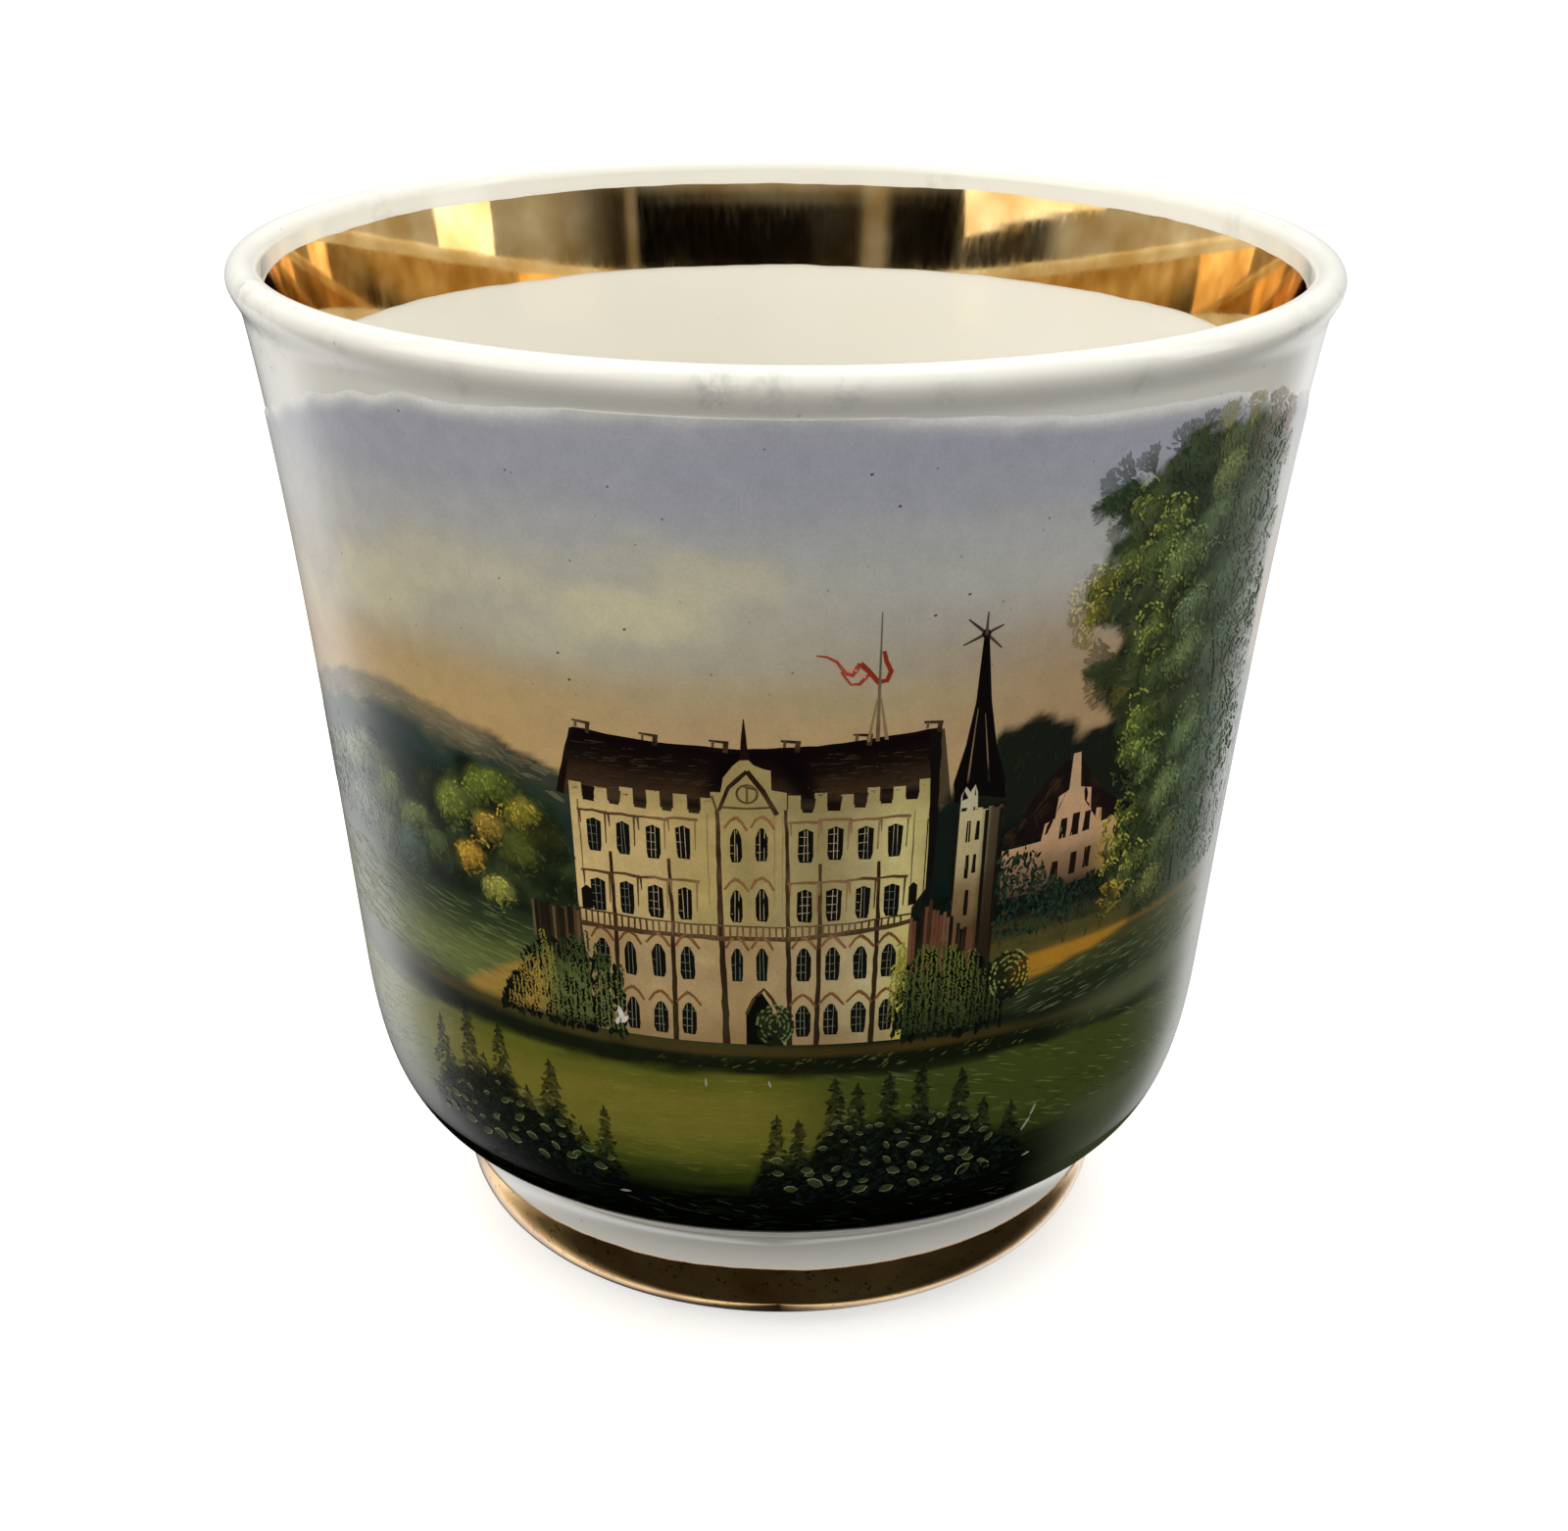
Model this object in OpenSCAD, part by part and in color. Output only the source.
// Porcelain view cup: a tall bell-shaped cup on a raised foot, with an ear handle,
// a painted landscape round the bowl and burnished gilding.
// The cup's axis is Z and it stands on z = 0. The painted side faces -Y, the handle is at +Y.

/* [Bowl] */
// Diameter over the lip bead
mouth_d = 90; // [75:1:108]
// Height of the whole cup
height = 86.5; // [72:0.5:104]
// How far the belly stands out from the seat on the foot, all round
belly_w = 5.2; // [3:0.1:7]
// Height of the belly above the seat, where the wall turns from the base curve into the bell
belly_rise = 13.1; // [10:0.1:18]
// Thickness of the wall
wall_t = 3; // [2:0.1:3.8]
// Thickness of the bottom inside the foot
floor_t = 3.4; // [2.5:0.1:5]
// Thickness of the rounded lip bead
lip_t = 2.7; // [2.2:0.1:3.4]
// How far the bead stands out from the wall
lip_proud = 0.55; // [0.1:0.05:1]

/* [Lean of the wall, in degrees] */
// Slope of the base curve as it leaves the foot, from level
seat_lean = 26; // [15:1:40]
// Lean of the wall at the belly, from upright
belly_lean = 5.7; // [2:0.1:10]
// Lean of the wall under the lip, from upright
rim_lean = 12; // [6:0.5:20]

/* [Foot] */
// Diameter of the foot at its waist, between the cove and the rounded edge
foot_d = 57.5; // [48:0.5:64]
// Height of the foot, up to the seat of the bowl
foot_h = 12.2; // [10:0.1:16]
// Height of the waist
waist_h = 5.5; // [4:0.1:7]
// How far the cove spreads out from the waist to the seat
cove_w = 3.15; // [1:0.05:5]
// How far the rounded edge draws in from the waist to the surface the cup rests on
edge_w = 4.15; // [1:0.05:5]
// Width of the ring that the cup rests on
rest_w = 3.6; // [2:0.1:6]
// Depth of the recess under the cup
recess_h = 8.5; // [6:0.1:9.5]

/* [Handle] */
// Distance from the top of the cup down to the handle's upper end
handle_drop = 15.5; // [12:0.5:20]
// Distance between the handle's two ends
handle_h = 38; // [32:0.5:45]
// How far the middle of the strap stands out from the wall at its upper end
handle_reach = 24; // [20:0.5:30]
// Radius of the strap's upper bend
handle_bend_r = 15; // [12:0.5:18]
// Width of the strap
handle_w = 7.6; // [6.3:0.1:10]
// Thickness of the strap
handle_t = 4.6; // [3.8:0.1:5.6]

/* [Gilding and enamel] */
// Thickness of the fired-on gold
gilt_t = 0.1; // [0.05:0.01:0.2]
// Distance from the top of the cup to the gold band inside
gilt_drop = 2.4; // [1.9:0.1:5]
// Height of the gold band inside
gilt_band_h = 7.6; // [4:0.1:12]
// How far the gold band on the foot reaches above the waist
foot_gilt_rise = 1.2; // [0.5:0.1:2.5]
// Bare edge left under the gold band on the foot
foot_bare_h = 0.6; // [0.3:0.1:1.5]
// Width of the gold line along the handle
handle_gilt_w = 2.4; // [1.2:0.1:2.9]
// Thickness of the fired-on enamel painting
enamel_t = 0.15; // [0.08:0.01:0.3]
// White margin between the top of the cup and the painting
sky_margin = 3.5; // [3.2:0.1:9]
// White margin between the seat on the foot and the painting
foot_margin = 1.2; // [0.2:0.1:3]
// How far round the bowl the painting reaches, in degrees
painting_angle = 260; // [200:5:310]

/* [Hidden] */
$fn = 96;

lip_h = height - lip_t / 2;                  // height of the middle of the bead
lip_r = mouth_d / 2 - lip_t / 2;             // radius of the middle of the bead
waist_r = foot_d / 2;
seat = [waist_r + cove_w, foot_h];           // where the bowl meets the foot
rest_r = waist_r - edge_w;                   // outside of the ring that the cup rests on
recess_r = rest_r - rest_w;                  // recess under the cup
base_r = recess_r + wall_t;                  // flat middle of the bowl's underside
floor_r = recess_r - wall_t;                 // flat middle of the inside
floor_h = recess_h + floor_t;                // height of the floor inside
curve_steps = 14;                    // straight stretches in each curve of the outline
far = 2 * mouth_d;                   // wider than any part of the cup

// Unit direction at an angle from level, in the outline's own plane
function heading(a) = [cos(a), sin(a)];

// Points of a cubic curve from a to b, leaving along da and arriving along db
function curve(a, da, b, db) = [
    for (i = [0 : curve_steps])
        let (t = i / curve_steps, u = 1 - t)
        u*u*u * a + 3*u*u*t * (a + da) + 3*u*t*t * (b - db) + t*t*t * b
];

// Unit normal of a run of points at point i, to the right of its direction
function side(p, i) =
    let (d = p[min(i + 1, len(p) - 1)] - p[max(i - 1, 0)])
    [d.y, -d.x] / norm(d);

// The run of points moved sideways by t
function beside(p, t) = [for (i = [0 : len(p) - 1]) p[i] + t * side(p, i)];

function reversed(p) = [for (i = [len(p) - 1 : -1 : 0]) p[i]];

function without_first(p) = [for (i = [1 : len(p) - 1]) p[i]];

// Bell curve from a belly point to a rim point
function bell(belly, rim) =
    let (rise = rim.y - belly.y)
    curve(belly, rise * 0.26 * heading(90 - belly_lean), rim, rise * 0.27 * heading(90 - rim_lean));

// Base curve up to a belly point, leaving its start at a slope
function base_curve(start, slope, pull, belly) =
    let (rise = belly.y - start.y)
    curve(start, pull * heading(slope), belly, rise * 0.67 * heading(90 - belly_lean));

belly_out = seat + [belly_w, belly_rise];
belly_in = belly_out - [wall_t, 0];
outer_wall = concat(
    base_curve(seat, seat_lean, belly_w * 0.54, belly_out),
    without_first(bell(belly_out, [mouth_d / 2 - lip_proud, lip_h])));
inner_wall = concat(
    base_curve([floor_r, floor_h], 0, (belly_in.x - floor_r) * 0.68, belly_in),
    without_first(bell(belly_in, [mouth_d / 2 - lip_t, lip_h])));

// Radius of the outer wall at height h
function wall_r(h) = lookup(h, [for (p = outer_wall) [p.y, p.x]]);

// Outline from the axis to the outer wall, with the underside that sits on the foot
module bowl_envelope() {
    polygon(concat([[0, recess_h], [base_r, recess_h]], outer_wall, [[0, lip_h]]));
}

module bowl_outline() {
    polygon(concat([[0, recess_h], [base_r, recess_h]], outer_wall,
                   reversed(inner_wall), [[0, floor_h]]));
    translate([lip_r, lip_h]) circle(d = lip_t);
}

module bowl() {
    color("ghostwhite") rotate_extrude() bowl_outline();
}

// Radius of the arc that is upright at the waist and reaches a point dr aside and dh away
function waist_arc(dr, dh) = (dr*dr + dh*dh) / (2 * dr);

cove_r = waist_arc(cove_w, foot_h - waist_h);
edge_r = waist_arc(edge_w, waist_h);

// Everything inside the outer face of the foot, from the axis outwards
module foot_envelope() {
    difference() {
        translate([0, waist_h]) square([seat.x, foot_h - waist_h]);
        translate([waist_r + cove_r, waist_h]) circle(r = cove_r);
    }
    intersection() {
        square([waist_r, waist_h]);
        union() {
            translate([waist_r - edge_r, waist_h]) circle(r = edge_r);
            square([waist_r - edge_r, waist_h]);
        }
    }
}

module foot_ring() {
    color("ghostwhite") rotate_extrude() difference() {
        foot_envelope();
        square([recess_r, foot_h]);
        bowl_envelope();
    }
}

// Section of the handle's strap, with round sides
module strap_section(w, t) {
    square([t, w - t], center = true);
    for (s = [-1, 1]) translate([0, s * (w - t) / 2]) circle(d = t);
}

// Section of the gold line that lies on the strap's outer face
module gilt_section() {
    translate([handle_t / 2 + gilt_t / 2, 0]) square([gilt_t, handle_gilt_w], center = true);
}

handle_top = height - handle_drop;                   // height of the strap's upper end
handle_back = wall_r(handle_top) + handle_reach;     // y of the strap's middle at its furthest
handle_mid = handle_top - handle_bend_r;             // height where the strap is upright
handle_low_r = handle_h - handle_bend_r;             // radius of the strap's lower bend

// A bend of the strap in the YZ plane, from angle a0 over a sweep
module bend(r, a0, sweep) {
    translate([0, handle_back - r, handle_mid]) rotate([90, 0, 90]) rotate([0, 0, a0])
        rotate_extrude(angle = sweep) translate([r, 0]) children();
}

// A straight stretch of the strap from the cup's axis out to y, at height h
module stub(y, h, up) {
    translate([0, 0, h]) rotate([-90, 0, 0]) linear_extrude(y) rotate(up ? -90 : 90) children();
}

// The ear, with its ends trimmed to the bowl's wall
module ear() {
    difference() {
        union() {
            stub(handle_back - handle_bend_r, handle_top, true) children();
            bend(handle_bend_r, 0, 90) children();
            bend(handle_low_r, -90, 90) children();
            stub(handle_back - handle_low_r, handle_top - handle_h, false) children();
        }
        rotate_extrude() bowl_envelope();
    }
}

module handle() {
    color("ghostwhite") ear() strap_section(handle_w, handle_t);
}

module handle_gilding() {
    color("goldenrod") ear() gilt_section();
}

// The stretch of an outline between two heights
module between(low, high) {
    intersection() {
        translate([0, low]) square([far, high - low]);
        children();
    }
}

// A skin of thickness t on a run of points; a negative t puts it on the left
module skin(p, t) {
    polygon(concat(p, reversed(beside(p, t))));
}

module inner_gold_band() {
    band_top = height - gilt_drop;
    color("goldenrod") rotate_extrude()
        between(band_top - gilt_band_h, band_top) skin(inner_wall, -gilt_t);
}

module foot_gold_band() {
    color("goldenrod") rotate_extrude() between(foot_bare_h, waist_h + foot_gilt_rise) difference() {
        translate([gilt_t, 0]) foot_envelope();
        foot_envelope();
    }
}

module enamel_painting() {
    color("seagreen") rotate([0, 0, -90 - painting_angle / 2])
        rotate_extrude(angle = painting_angle)
        between(foot_h + foot_margin, height - sky_margin) skin(outer_wall, enamel_t);
}

bowl();
foot_ring();
handle();
inner_gold_band();
foot_gold_band();
enamel_painting();
handle_gilding();
